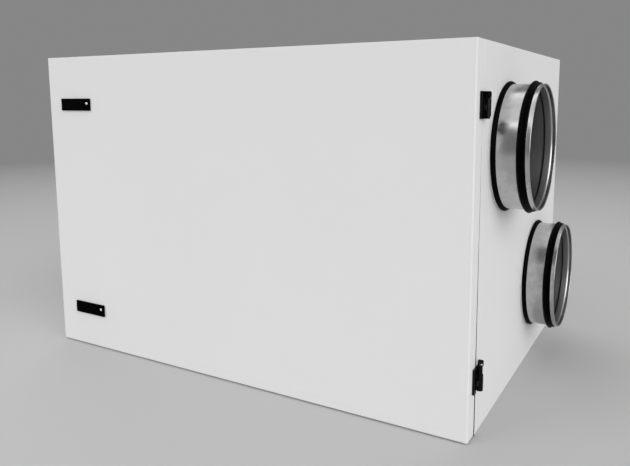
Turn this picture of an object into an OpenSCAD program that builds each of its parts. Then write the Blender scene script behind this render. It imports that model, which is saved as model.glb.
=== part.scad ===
// Air handling unit: an insulated white cabinet with one full-front hinged door,
// two round duct spigots on each end, and filters, fans and a rotary exchanger inside.
// +X runs along the width, the door faces -Y, +Z is up.
// The origin is the middle of the footprint, on the floor.

/* [Casing] */
// Overall width, over both end panels
casing_w = 1400; // [1300:10:1700]
// Overall depth, from the door's front to the back panel
casing_d = 960; // [880:5:1200]
// Overall height
casing_h = 930; // [880:5:1200]
// Thickness of the insulated panels
panel_t = 50; // [30:1:60]
// Radius of the folded sheet at the upright outer corners
fold_r = 4; // [1:0.5:8]

/* [Door] */
// Thickness of the insulated door
door_t = 47; // [35:1:60]
// Joint between the door and the casing, which the gasket fills
seam = 5; // [4:0.5:10]
// Height of the door's lower edge above the floor
door_lift = 4; // [4:1:20]
// Width of the gasket strip
gasket_w = 18; // [10:1:20]
// Distance of the gasket from the outside of the cabinet
gasket_inset = 1; // [0.5:0.5:18]

/* [Hinges] */
// Height of a hinge's leaves
hinge_h = 61; // [50:1:80]
// Distance of a hinge's middle from the top or bottom of the casing
hinge_end = 144; // [100:1:220]
// Thickness of a leaf's plate
leaf_t = 6; // [4:0.5:7]
// Reach of a leaf from the hinge axis
leaf_reach = 24; // [20:1:32]
// Outer radius of the barrel
barrel_r = 8; // [7:0.5:9.5]
// Distance of the hinge axis from the end panel's outer face
axis_out = 11; // [10.5:0.5:13]
// Radius of the hinge pin
pin_r = 6; // [4:0.25:6.25]
// Width of the pull on the pin's head
pull_w = 13.5; // [12:0.5:14]
// Height of the pull on the pin's head
pull_h = 15; // [13:0.5:18]
// Thickness of the pull on the pin's head
pull_t = 4; // [3:0.5:5]
// Height of the barrel's lower end above the lower edge of the leaves
barrel_low = 5; // [2:0.5:8]
// Height by which the lower pin stands out of its seat
pin_lift = 20; // [0:1:24]

/* [Latches] */
// Length of a latch plate
latch_l = 128; // [110:1:160]
// Height of a latch plate
latch_h = 37; // [34:1:50]
// Thickness of a latch plate
latch_t = 5; // [4:0.5:10]
// Rounding of the latch plate's corners
latch_r = 1.5; // [1:0.5:6]
// Distance from the door's left edge to the upper latch plate
latch_upper_x = 60; // [40:1:120]
// Distance from the door's left edge to the lower latch plate
latch_lower_x = 74; // [40:1:120]
// Distance of the upper latch's middle from the top of the casing
latch_top = 146; // [100:1:220]
// Distance of the lower latch's middle from the floor
latch_bottom = 127; // [100:1:220]
// Height by which the lever stands out of its plate
lever_t = 2.5; // [2:0.5:8]
// Rim of the plate that shows round the lever
lever_rim = 4; // [3:0.5:6]
// Radius of the round recess that holds the key insert
recess_r = 10; // [9:0.5:12]
// Radius of the metal key insert
key_r = 4.5; // [3.5:0.25:6]
// Distance of the key insert from the plate's right end
key_end = 14; // [13:0.5:20]
// Height of the key insert above the plate's middle
key_up = 3.5; // [0:0.5:5]

/* [Spigots] */
// Inside diameter of the round duct that slides over a spigot
duct_d = 315; // [250:1:320]
// Clearance of the duct all round the spigot
duct_fit = 0.7; // [0.4:0.1:2]
// Length of a spigot outside the end panel
spigot_out = 93.5; // [85:0.5:140]
// Thickness of the spigot's sheet
sheet_t = 1.5; // [1:0.25:3]
// Distance of the seal groove from the end panel
groove_at = 62; // [50:1:64]
// Width of the seal groove
groove_w = 21; // [18:0.5:24]
// Depth of the seal groove
groove_deep = 4; // [3:0.25:6]
// Height of the seal's main lip above the tube
lip_h = 7.5; // [4:0.25:9]
// Height of the base ring on the end panel
ring_t = 16.5; // [12:0.5:20]
// Height of the base ring's foot under its bead
ring_foot = 4; // [1:0.5:5]
// Thickness of the base ring round the tube
ring_w = 7; // [5:0.5:9]
// Distance of the upper spigot's axis from the top of the casing
spigot_top = 251; // [235:1:280]
// Distance of the lower spigot's axis from the bottom of the casing
spigot_bottom = 259; // [235:1:280]
// Distance of the upper spigot's axis from the door's front
spigot_upper_y = 266; // [240:1:300]
// Distance of the lower spigot's axis from the door's front
spigot_lower_y = 645; // [600:1:660]

/* [Inside] */
// Thickness of the decks between the upper and the lower air path
deck_t = 30; // [15:1:50]
// Length of the exchanger along the air path
wheel_t = 240; // [200:5:300]
// Narrowest part of the frame round the exchanger's wheel
wheel_rim = 38; // [25:1:60]
// Running gap round the exchanger's wheel
wheel_gap = 3; // [2:0.5:6]
// Thickness of the bars that carry the wheel's hub
bar_t = 8; // [5:0.5:15]
// Height of the bars that carry the wheel's hub
bar_h = 60; // [50:1:90]
// Clearance in front of and above the pieces that slide in through the door
slide_gap = 10; // [5:1:20]
// Distance of the filters and fan walls from the exchanger
bay = 120; // [80:5:140]
// Thickness of a filter
filter_t = 96; // [48:1:100]
// Thickness of a fan wall
fan_wall_t = 3; // [2:0.5:6]
// Diameter of a fan's impeller
fan_d = 280; // [220:5:300]
// Width of a fan's impeller
fan_w = 84; // [60:1:90]
// Number of blades on an impeller
fan_blades = 7; // [5:1:9]
// Diameter of a fan's motor
motor_d = 116; // [90:1:130]
// Length of a fan's motor
motor_l = 92; // [70:1:100]

/* [Hidden] */
$fn = 96;
// Clearance at curved seats and between pieces that move
fit = 0.3;

// Planes of the cabinet
half_w = casing_w / 2;
inner_w = casing_w - 2 * panel_t;
inner_h = casing_h - 2 * panel_t;
door_front = -casing_d / 2;
door_back = door_front + door_t;
casing_front = door_back + seam;
casing_back = casing_d / 2;
inner_back = casing_back - panel_t;
wall_d = casing_back - casing_front;

// Hinge line and heights
axis_x = half_w + axis_out;
axis_y = door_back + seam / 2;
hinge_upper_z = casing_h - hinge_end;
hinge_lower_z = hinge_end;
barrel_top = hinge_h - pull_h - 1;
knuckle_gap = 0.5;
knuckle_h = (barrel_top - barrel_low) / 3;
plate_from = barrel_r + 1;

// Latch places, as [left end, middle height], and the key insert on the plate
latch_upper_pos = [latch_upper_x - half_w, casing_h - latch_top];
latch_lower_pos = [latch_lower_x - half_w, latch_bottom];
key_x = latch_l - key_end;
key_y = latch_h / 2 + key_up;

// Spigot sizes and places
tube_r = duct_d / 2 - duct_fit;
spigot_upper_pos = [door_front + spigot_upper_y, casing_h - spigot_top];
spigot_lower_pos = [door_front + spigot_lower_y, spigot_bottom];
hem_t = 2 * sheet_t;

// Air paths inside
path_h = (inner_h - deck_t) / 2;
lower_z = panel_t;
upper_z = panel_t + path_h + deck_t;
slide_front = casing_front + slide_gap;
slide_d = inner_back - slide_front;
slide_mid = (inner_back + slide_front) / 2;
wheel_h = inner_h - slide_gap;
wheel_r = min(wheel_h, slide_d) / 2 - wheel_rim;
deck_l = (inner_w - wheel_t) / 2;
bay_x = wheel_t / 2 + bay;
wheel_z = panel_t + wheel_h / 2;
eye_r = fan_d * 0.28;
fan_gap = 6;
plate_t = 3;

// Puts a piece that is drawn for the right end on the right or the left end
module at_end(right) {
    if (right) children();
    else mirror([1, 0, 0]) children();
}

// Turns a piece drawn along +Z so that it points along +X, at an end panel's outer face
module at_spigot(pos) {
    translate([half_w, pos[0], pos[1]])
        rotate([0, 90, 0])
            children();
}

// Rectangle with true arcs at all corners, from the origin
module round_rect(w, h, r) {
    translate([r, 0]) square([w - 2 * r, h]);
    translate([0, r]) square([w, h - 2 * r]);
    for (x = [r, w - r], y = [r, h - r])
        translate([x, y]) circle(r);
}

// Insulated panels of the casing
module bottom_panel() {
    color("white")
        translate([-inner_w / 2, casing_front, 0])
            cube([inner_w, wall_d, panel_t]);
}

module top_panel() {
    color("white")
        translate([-inner_w / 2, casing_front, casing_h - panel_t])
            cube([inner_w, wall_d, panel_t]);
}

module back_panel() {
    color("white")
        translate([-inner_w / 2, inner_back, panel_t])
            cube([inner_w, panel_t, inner_h]);
}

// Plan of an end panel: square at the front, folded round the outer back corner
module end_plan() {
    square([panel_t - fold_r, wall_d]);
    square([panel_t, wall_d - fold_r]);
    translate([panel_t - fold_r, wall_d - fold_r]) circle(fold_r);
}

module end_panel(right) {
    color("white")
        at_end(right)
            difference() {
                translate([half_w - panel_t, casing_front, 0])
                    linear_extrude(casing_h) end_plan();
                for (pos = [spigot_upper_pos, spigot_lower_pos])
                    at_spigot(pos)
                        translate([0, 0, -panel_t - 1])
                            cylinder(r = tube_r + fit, h = panel_t + 2);
            }
}

module left_end_panel() { end_panel(false); }

module right_end_panel() { end_panel(true); }

// Plan of the door: folded round both front corners
module door_plan() {
    translate([fold_r, 0]) square([casing_w - 2 * fold_r, door_t]);
    translate([0, fold_r]) square([casing_w, door_t - fold_r]);
    for (x = [fold_r, casing_w - fold_r])
        translate([x, fold_r]) circle(fold_r);
}

module door() {
    color("white")
        translate([-half_w, door_front, door_lift])
            linear_extrude(casing_h - door_lift) door_plan();
}

// Sealing strip on the front edges of the casing, just clear of the closed door
module door_gasket() {
    strip_w = casing_w - 2 * gasket_inset;
    strip_h = casing_h - 2 * gasket_inset;
    color("dimgray")
        translate([0, casing_front, casing_h / 2])
            rotate([90, 0, 0])
                linear_extrude(seam - fit)
                    difference() {
                        square([strip_w, strip_h], center = true);
                        square([strip_w - 2 * gasket_w, strip_h - 2 * gasket_w], center = true);
                    }
}

// Plate of a leaf, with the hinge axis at the origin and the leaf towards +Y. Above the
// barrel a thin cheek runs on to the joint, behind the pull of the pin.
module leaf_plate() {
    cheek_from = seam / 4;
    cheek_t = leaf_t / 2;
    translate([-axis_out, plate_from, 0])
        cube([leaf_t, leaf_reach - plate_from, hinge_h]);
    translate([-axis_out, cheek_from, barrel_top + knuckle_gap])
        cube([cheek_t, plate_from - cheek_from, hinge_h - barrel_top - knuckle_gap]);
}

// Guard on the casing's leaf, which backs the pull of a pin that is pushed home
module pull_guard() {
    guard_from = pull_t / 2 + 1;
    translate([-axis_out, guard_from, barrel_top + knuckle_gap])
        cube([axis_out + barrel_r / 2, plate_from - guard_from, hinge_h - barrel_top - knuckle_gap]);
}

// Plan of a knuckle: the barrel and the neck that carries it on the plate
module knuckle_plan() {
    circle(barrel_r);
    polygon([
        [-axis_out, leaf_reach - leaf_t], [-axis_out, seam],
        [-barrel_r / 2, 0], [0, 0], [0, barrel_r], [leaf_t - axis_out, leaf_reach - leaf_t]
    ]);
}

// One knuckle, counted from the bottom of the barrel, with a running gap at both ends
module knuckle(level) {
    translate([0, 0, barrel_low + level * knuckle_h + knuckle_gap / 2])
        linear_extrude(knuckle_h - knuckle_gap) knuckle_plan();
}

// A leaf with the knuckles at the given levels, bored for the pin
module leaf(levels, guarded) {
    difference() {
        union() {
            leaf_plate();
            if (guarded) pull_guard();
            for (level = levels) knuckle(level);
        }
        translate([0, 0, -1]) cylinder(r = pin_r + fit, h = hinge_h + 2);
    }
}

module at_hinge(middle_z) {
    translate([axis_x, axis_y, middle_z - hinge_h / 2]) children();
}

module hinge_door_leaf(middle_z) {
    color("#202020")
        at_hinge(middle_z) mirror([0, 1, 0]) leaf([1], false);
}

module hinge_casing_leaf(middle_z) {
    color("#202020")
        at_hinge(middle_z) leaf([0, 2], true);
}

// Stout pin with a flat pull on its head, which leans outwards and is pierced by a slot
module hinge_pin(middle_z, lift) {
    pull_r = 3;
    pull_from = barrel_r - pull_w;
    slot_w = pull_w * 0.6;
    slot_h = 4.5;
    slot_r = 1;
    slot_at = [pull_w - slot_w - pull_r / 2, slot_r * 1.5];
    color("#303030")
        at_hinge(middle_z)
            translate([0, 0, lift]) {
                cylinder(r = pin_r, h = barrel_top);
                translate([pull_from, pull_t / 2, barrel_top])
                    rotate([90, 0, 0])
                        linear_extrude(pull_t)
                            difference() {
                                round_rect(pull_w, pull_h, pull_r);
                                translate(slot_at) round_rect(slot_w, slot_h, slot_r);
                            }
            }
}

module upper_hinge_door_leaf() { hinge_door_leaf(hinge_upper_z); }

module upper_hinge_casing_leaf() { hinge_casing_leaf(hinge_upper_z); }

module upper_hinge_pin() { hinge_pin(hinge_upper_z, 0); }

module lower_hinge_door_leaf() { hinge_door_leaf(hinge_lower_z); }

module lower_hinge_casing_leaf() { hinge_casing_leaf(hinge_lower_z); }

module lower_hinge_pin() { hinge_pin(hinge_lower_z, pin_lift); }

// Places a latch piece that is drawn in the X-Y plane, with +Z out of the door's front
module at_latch(pos) {
    translate([pos[0], door_front, pos[1] - latch_h / 2])
        rotate([90, 0, 0])
            children();
}

// Base plate of a latch, with a round recess for the key insert
module latch_plate(pos) {
    color("#181818")
        at_latch(pos)
            difference() {
                linear_extrude(latch_t) round_rect(latch_l, latch_h, latch_r);
                translate([key_x, key_y, latch_t / 2])
                    cylinder(r = recess_r, h = latch_t);
            }
}

// Raised lever on the plate, hollowed round the key recess
module latch_lever(pos) {
    lever_l = key_x - lever_rim;
    finger_r = latch_h / 3;
    finger_deep = lever_t / 2;
    color("#222222")
        at_latch(pos)
            translate([0, 0, latch_t])
                difference() {
                    linear_extrude(lever_t)
                        difference() {
                            translate([lever_rim, lever_rim])
                                round_rect(lever_l, latch_h - 2 * lever_rim, latch_r);
                            translate([key_x, key_y]) circle(recess_r + lever_rim);
                        }
                    translate([lever_rim, latch_h / 2, lever_t + finger_r - finger_deep])
                        sphere(r = finger_r);
                }
}

// Round metal insert with a square socket for the key
module latch_key(pos) {
    socket = key_r * 0.8;
    key_h = latch_t / 2;
    color("silver")
        at_latch(pos)
            translate([key_x, key_y, latch_t / 2])
                difference() {
                    cylinder(r = key_r, h = key_h);
                    translate([-socket / 2, -socket / 2, key_h / 3])
                        cube([socket, socket, key_h]);
                }
}

module upper_latch_plate() { latch_plate(latch_upper_pos); }

module upper_latch_lever() { latch_lever(latch_upper_pos); }

module upper_latch_key() { latch_key(latch_upper_pos); }

module lower_latch_plate() { latch_plate(latch_lower_pos); }

module lower_latch_lever() { latch_lever(latch_lower_pos); }

module lower_latch_key() { latch_key(latch_lower_pos); }

// Rolled sheet profile: plain tube, swaged groove for the seal, hemmed and rounded rim.
// Points are [radius, height above the end panel].
module spigot_profile() {
    groove_end = groove_at + groove_w;
    groove_r = tube_r - groove_deep;
    hem_at = groove_end + sheet_t;
    nose_r = hem_t / 2;
    polygon([
        [tube_r, -panel_t],
        [tube_r, groove_at],
        [groove_r, groove_at + groove_deep],
        [groove_r, groove_end - groove_deep],
        [tube_r, groove_end],
        [tube_r, spigot_out - nose_r],
        [tube_r - hem_t, spigot_out - nose_r],
        [tube_r - hem_t, hem_at],
        [groove_r - sheet_t, groove_end - groove_deep + sheet_t],
        [groove_r - sheet_t, groove_at + groove_deep - sheet_t],
        [tube_r - sheet_t, groove_at - sheet_t],
        [tube_r - sheet_t, -panel_t]
    ]);
    translate([tube_r - nose_r, spigot_out - nose_r]) circle(nose_r);
}

module spigot(right, pos) {
    color("#b4b8ba")
        at_end(right)
            at_spigot(pos)
                rotate_extrude() spigot_profile();
}

// One rounded lip that stands on the seal's body, drawn from its edge nearer the base
module lip(w, h) {
    tip_r = w / 5;
    polygon([[0, 0], [h - tip_r, w / 2 - tip_r], [h - tip_r, w / 2 + tip_r], [0, w]]);
    translate([h - tip_r, w / 2]) circle(tip_r);
}

// Rubber seal: a body bedded in the groove, a high lip and a low lip nearer the rim
module lip_profile() {
    bed_r = tube_r - groove_deep + fit;
    body_from = groove_at + 2 * fit;
    body_to = groove_at + groove_w - 2 * fit;
    body_h = 1.2;
    high_w = (body_to - body_from) * 0.6;
    low_w = body_to - body_from - high_w;
    low_h = lip_h * 0.45;
    polygon([
        [bed_r, groove_at + groove_deep + fit],
        [tube_r, body_from],
        [tube_r + body_h, body_from],
        [tube_r + body_h, body_to],
        [tube_r, body_to],
        [bed_r, groove_at + groove_w - groove_deep - fit]
    ]);
    translate([tube_r, body_from]) lip(high_w, lip_h);
    translate([tube_r, body_from + high_w]) lip(low_w, low_h);
}

module lip_seal(right, pos) {
    color("#151515")
        at_end(right)
            at_spigot(pos)
                rotate_extrude() lip_profile();
}

// Rubber ring between the tube and the end panel: a foot on the panel, and a round bead
// that slopes down to the tube along a tangent
module ring_profile() {
    bead_r = ring_w / 2;
    bead_at = bead_r + ring_foot;
    slope_h = ring_t - bead_at;
    slope_a = atan2(slope_h, -bead_r) - acos(bead_r / norm([bead_r, slope_h]));
    translate([tube_r + fit, 0]) {
        polygon([
            [0, 0], [bead_r, 0], [bead_r, bead_at],
            [bead_r + bead_r * cos(slope_a), bead_at + bead_r * sin(slope_a)], [0, ring_t]
        ]);
        translate([bead_r, bead_at]) circle(bead_r);
    }
}

module base_ring(right, pos) {
    color("#151515")
        at_end(right)
            at_spigot(pos)
                rotate_extrude() ring_profile();
}

module right_upper_spigot() { spigot(true, spigot_upper_pos); }

module right_upper_lip_seal() { lip_seal(true, spigot_upper_pos); }

module right_upper_base_ring() { base_ring(true, spigot_upper_pos); }

module right_lower_spigot() { spigot(true, spigot_lower_pos); }

module right_lower_lip_seal() { lip_seal(true, spigot_lower_pos); }

module right_lower_base_ring() { base_ring(true, spigot_lower_pos); }

module left_upper_spigot() { spigot(false, spigot_upper_pos); }

module left_upper_lip_seal() { lip_seal(false, spigot_upper_pos); }

module left_upper_base_ring() { base_ring(false, spigot_upper_pos); }

module left_lower_spigot() { spigot(false, spigot_lower_pos); }

module left_lower_lip_seal() { lip_seal(false, spigot_lower_pos); }

module left_lower_base_ring() { base_ring(false, spigot_lower_pos); }

// Square frame of the rotary exchanger, bored for the wheel, with a bar over each face
// that carries the wheel's hub
module wheel_frame() {
    color("#a8acae") {
        difference() {
            translate([-wheel_t / 2, slide_front, panel_t])
                cube([wheel_t, slide_d, wheel_h]);
            translate([-wheel_t / 2 - 1, slide_mid, wheel_z])
                rotate([0, 90, 0])
                    cylinder(r = wheel_r, h = wheel_t + 2);
        }
        for (x = [-wheel_t / 2, wheel_t / 2 - bar_t])
            translate([x, slide_front, wheel_z - bar_h / 2])
                cube([bar_t, slide_d, bar_h]);
    }
}

// Foil wheel, a running gap inside the frame, with its hub between the two bars
module wheel_rotor() {
    hub_l = wheel_t - 2 * bar_t;
    rotor_t = hub_l - 2 * wheel_gap;
    hub_r = bar_h / 2 - wheel_gap;
    color("#c4c6c6")
        translate([0, slide_mid, wheel_z])
            rotate([0, 90, 0]) {
                cylinder(r = wheel_r - wheel_gap, h = rotor_t, center = true);
                cylinder(r = hub_r, h = hub_l, center = true);
            }
}

// Decks that part the upper from the lower air path
module deck(right) {
    color("#b8bcbe")
        at_end(right)
            translate([wheel_t / 2, slide_front, panel_t + path_h])
                cube([deck_l, slide_d, deck_t]);
}

module right_deck() { deck(true); }

module left_deck() { deck(false); }

// Filter cassette: a frame and a bed of media that is set back on both faces
module filter(right, floor_z) {
    frame_w = 22;
    set_back = 6;
    filter_h = path_h - slide_gap;
    color("#e6e8e4")
        at_end(right)
            translate([bay_x, slide_front, floor_z])
                difference() {
                    cube([filter_t, slide_d, filter_h]);
                    for (x = [-1, filter_t - set_back])
                        translate([x, frame_w, frame_w])
                            cube([set_back + 1, slide_d - 2 * frame_w, filter_h - 2 * frame_w]);
                }
}

module upper_filter() { filter(true, upper_z); }

module lower_filter() { filter(false, lower_z); }

// Fan wall with its inlet nozzle, which necks down towards the impeller
module fan_wall(right, floor_z) {
    nozzle_l = fan_gap - 1;
    color("#b0b4b6")
        at_end(right)
            translate([bay_x, slide_mid, floor_z + path_h / 2])
                rotate([0, 90, 0]) {
                    difference() {
                        translate([-path_h / 2, -slide_d / 2, 0])
                            cube([path_h, slide_d, fan_wall_t]);
                        translate([0, 0, -1])
                            cylinder(r = eye_r, h = fan_wall_t + 2);
                    }
                    translate([0, 0, fan_wall_t])
                        difference() {
                            cylinder(r = eye_r + plate_t, h = nozzle_l);
                            translate([0, 0, -1]) cylinder(r = eye_r, h = nozzle_l + 2);
                        }
                }
}

// One backward-curved blade as an arc-shaped plate
module blade() {
    arc_r = fan_d * 0.36;
    intersection() {
        difference() {
            translate([eye_r * 0.5, arc_r * 0.9]) circle(arc_r);
            translate([eye_r * 0.5, arc_r * 0.9]) circle(arc_r - plate_t);
        }
        difference() {
            circle(fan_d / 2 - 1);
            circle(eye_r * 0.9);
        }
        translate([0, -fan_d]) square([fan_d, fan_d + arc_r]);
    }
}

// Impeller: shroud ring on the inlet side, curved blades and a back plate with a hub
module fan_impeller(right, floor_z) {
    hub_r = motor_d / 5;
    color("#3c4044")
        at_end(right)
            translate([bay_x + fan_wall_t + fan_gap, slide_mid, floor_z + path_h / 2])
                rotate([0, 90, 0]) {
                    difference() {
                        cylinder(r = fan_d / 2, h = plate_t);
                        translate([0, 0, -1]) cylinder(r = eye_r, h = plate_t + 2);
                    }
                    for (i = [0 : fan_blades - 1])
                        rotate([0, 0, i * 360 / fan_blades])
                            linear_extrude(fan_w) blade();
                    translate([0, 0, fan_w - plate_t])
                        cylinder(r = fan_d / 2, h = plate_t);
                    translate([0, 0, fan_w / 2])
                        cylinder(r = hub_r, h = fan_w / 2);
                }
}

// Motor on its bracket, which stands on the deck or on the bottom panel
module fan_motor(right, floor_z) {
    motor_x = bay_x + fan_wall_t + fan_gap + fan_w;
    stand_w = motor_d * 0.8;
    foot_l = motor_l * 0.9;
    stand_x = motor_x + (motor_l - plate_t) / 2;
    color("#2a2c2e")
        at_end(right) {
            translate([motor_x, slide_mid, floor_z + path_h / 2])
                rotate([0, 90, 0])
                    cylinder(d = motor_d, h = motor_l);
            translate([stand_x, slide_mid - stand_w / 2, floor_z])
                cube([plate_t, stand_w, path_h / 2]);
            translate([stand_x - foot_l / 2, slide_mid - stand_w / 2, floor_z])
                cube([foot_l, stand_w, plate_t]);
        }
}

module upper_fan_wall() { fan_wall(false, upper_z); }

module upper_fan_impeller() { fan_impeller(false, upper_z); }

module upper_fan_motor() { fan_motor(false, upper_z); }

module lower_fan_wall() { fan_wall(true, lower_z); }

module lower_fan_impeller() { fan_impeller(true, lower_z); }

module lower_fan_motor() { fan_motor(true, lower_z); }

bottom_panel();
top_panel();
back_panel();
left_end_panel();
right_end_panel();
door();
door_gasket();
upper_hinge_door_leaf();
upper_hinge_casing_leaf();
upper_hinge_pin();
lower_hinge_door_leaf();
lower_hinge_casing_leaf();
lower_hinge_pin();
upper_latch_plate();
upper_latch_lever();
upper_latch_key();
lower_latch_plate();
lower_latch_lever();
lower_latch_key();
right_upper_spigot();
right_upper_lip_seal();
right_upper_base_ring();
right_lower_spigot();
right_lower_lip_seal();
right_lower_base_ring();
left_upper_spigot();
left_upper_lip_seal();
left_upper_base_ring();
left_lower_spigot();
left_lower_lip_seal();
left_lower_base_ring();
wheel_frame();
wheel_rotor();
right_deck();
left_deck();
upper_filter();
lower_filter();
upper_fan_wall();
upper_fan_impeller();
upper_fan_motor();
lower_fan_wall();
lower_fan_impeller();
lower_fan_motor();
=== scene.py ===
# %% [markdown]
# # Dressing an air handling unit
# The object is a ventilation cabinet: a white insulated casing, one door over the whole
# front, and galvanised duct spigots on both ends. The solids come from the CAD frame, in
# metres, and everything here is laid over them without moving any of them.

# %% Load the frame
import math

import bmesh
import bpy
from mathutils import Matrix, Vector


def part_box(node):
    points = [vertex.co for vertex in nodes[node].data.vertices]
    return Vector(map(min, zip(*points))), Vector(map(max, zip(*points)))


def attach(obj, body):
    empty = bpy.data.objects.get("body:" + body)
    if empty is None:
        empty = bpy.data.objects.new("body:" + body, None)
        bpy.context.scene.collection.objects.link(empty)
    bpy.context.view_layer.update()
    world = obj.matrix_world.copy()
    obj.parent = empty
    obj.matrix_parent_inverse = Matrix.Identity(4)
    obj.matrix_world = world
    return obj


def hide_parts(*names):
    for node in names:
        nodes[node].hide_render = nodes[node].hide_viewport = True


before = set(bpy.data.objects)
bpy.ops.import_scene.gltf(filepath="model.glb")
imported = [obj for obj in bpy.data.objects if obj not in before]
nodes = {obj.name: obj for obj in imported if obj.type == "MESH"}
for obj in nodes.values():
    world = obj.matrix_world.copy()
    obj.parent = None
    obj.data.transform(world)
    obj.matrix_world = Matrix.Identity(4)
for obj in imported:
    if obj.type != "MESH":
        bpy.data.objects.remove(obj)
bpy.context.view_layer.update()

# %% [markdown]
# The camera stands where the photographer stood. Its place and lens were worked out from
# the straight edges of the cabinet and the round rims of the spigots, so that they fall on
# the same pixels. A small shift is needed because the photograph was cropped off centre.

# %% Camera
IMAGE_W, IMAGE_H = 630, 466
FOCAL_PX = 632.49
AXIS_PX = (340.02, 185.25)
SENSOR_MM = 36.0
EYE = Vector((1.1074, -1.8252, 0.8012))
AIM = Vector((-0.47923, 0.86707, -0.1361))
ROLL_DEG = -0.141


def make_camera():
    data = bpy.data.cameras.new("camera")
    data.sensor_width = SENSOR_MM
    data.lens = SENSOR_MM * FOCAL_PX / IMAGE_W
    data.shift_x = (IMAGE_W / 2 - AXIS_PX[0]) / IMAGE_W
    data.shift_y = (AXIS_PX[1] - IMAGE_H / 2) / IMAGE_W
    camera = bpy.data.objects.new("camera", data)
    roll = Matrix.Rotation(math.radians(ROLL_DEG), 3, "Z")
    turn = AIM.to_track_quat("-Z", "Y").to_matrix() @ roll
    camera.matrix_world = Matrix.Translation(EYE) @ turn.to_4x4()
    bpy.context.scene.collection.objects.link(camera)
    bpy.context.scene.camera = camera
    print("camera lens", round(data.lens, 2), "mm")


make_camera()

# %% [markdown]
# The surround is a studio with grey walls, a strip of light ceiling that runs from front to
# back and a light wall on the right. Round galvanised sheet is a mirror in one direction, so
# what it shows is the surround: the strip becomes the bright upper half of each tube, its
# edge the sharp step below that, and the grey wall the darker middle. The light wall draws
# the bright line inside each rim. The strip is narrow, because a whole ceiling as light as
# that would bleach the casing's top. Ramps on the direction in space make all of it.

# %% Surround
TO_RIGHT, UPWARD = (1.0, 0.0, 0.0), (0.0, 0.0, 1.0)
WALL_TONE = 0.24
RIGHT_WALL_TONE = 0.85
RIGHT_WALL_FROM, RIGHT_WALL_TO = 0.45, 0.85
RIGHT_WALL_RISE = 0.22
CEILING_LEAN = (0.30, -0.20, 0.93)
# Steps of (place, tone): the ceiling along its lean, the strip from left to right.
CEILING = ((0.64, WALL_TONE), (0.69, 1.75), (0.75, 1.60), (0.82, 1.00), (1.0, 0.90))
STRIP = ((0.18, 0.0), (0.30, 1.0), (0.50, 1.0), (0.66, 0.0))


def add_node(tree, kind, **values):
    node = tree.nodes.new(kind)
    for name, value in values.items():
        node.inputs[name.replace("_", " ")].default_value = value
    return node


def grey(tone):
    return (tone, tone, tone, 1.0)


def map_range(tree, source, low, high, to_low, to_high):
    node = add_node(tree, "ShaderNodeMapRange", From_Min=low, From_Max=high,
                    To_Min=to_low, To_Max=to_high)
    tree.links.new(source, node.inputs["Value"])
    return node.outputs["Result"]


def along(tree, place, direction):
    node = add_node(tree, "ShaderNodeVectorMath")
    node.operation = "DOT_PRODUCT"
    node.inputs[1].default_value = direction
    tree.links.new(place, node.inputs[0])
    return node.outputs["Value"]


def math_node(tree, operation, first, second):
    """Links the sockets it is given and sets the plain numbers."""
    node = add_node(tree, "ShaderNodeMath")
    node.operation = operation
    for socket, value in zip(node.inputs, (first, second)):
        if isinstance(value, (int, float)):
            socket.default_value = value
        else:
            tree.links.new(value, socket)
    return node.outputs[0]


def tone_ramp(tree, source, steps):
    ramp = add_node(tree, "ShaderNodeValToRGB")
    ramp.color_ramp.interpolation = "EASE"
    stops = ramp.color_ramp.elements
    while len(stops) < len(steps):
        stops.new(0.5)
    for stop, (place, tone) in zip(stops, steps):
        stop.position = place
        stop.color = grey(tone)
    tree.links.new(source, ramp.inputs["Fac"])
    return ramp.outputs["Color"]


def make_surround():
    world = bpy.data.worlds.new("surround")
    bpy.context.scene.world = world
    world.use_nodes = True
    tree = world.node_tree
    tree.nodes.clear()
    direction = add_node(tree, "ShaderNodeTexCoord").outputs["Generated"]
    across = along(tree, direction, TO_RIGHT)
    strip = tone_ramp(tree, map_range(tree, across, -1.0, 1.0, 0.0, 1.0), STRIP)
    lean = tone_ramp(tree, along(tree, direction, CEILING_LEAN), CEILING)
    ceiling = math_node(tree, "MULTIPLY", strip, lean)
    right = map_range(tree, across, RIGHT_WALL_FROM, RIGHT_WALL_TO, 0.0, 1.0)
    high = map_range(tree, along(tree, direction, UPWARD), 0.0, RIGHT_WALL_RISE, 0.0, 1.0)
    light = math_node(tree, "MULTIPLY", right, high)
    wall = map_range(tree, light, 0.0, 1.0, WALL_TONE, RIGHT_WALL_TONE)
    sky = add_node(tree, "ShaderNodeBackground", Strength=1.0)
    tree.links.new(math_node(tree, "MAXIMUM", ceiling, wall), sky.inputs["Color"])
    out = add_node(tree, "ShaderNodeOutputWorld")
    tree.links.new(sky.outputs[0], out.inputs["Surface"])
    print("surround: a ceiling strip of", len(CEILING), "tones and a light wall")


bpy.context.scene.view_settings.view_transform = "Standard"
make_surround()

# %% [markdown]
# The floor is a pale disc that fades into the wall's grey further out, so there is no hard
# horizon behind the cabinet and its own soft shadow stays on it.

# %% Floor
FLOOR_TONE = 0.54
FLOOR_RADIUS = 14.0
FLOOR_SIDES = 96
FADE_FROM, FADE_TO = 1.6, 7.0


def new_object(name, mesh):
    thing = bpy.data.objects.new(name, mesh)
    bpy.context.scene.collection.objects.link(thing)
    return thing


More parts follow.
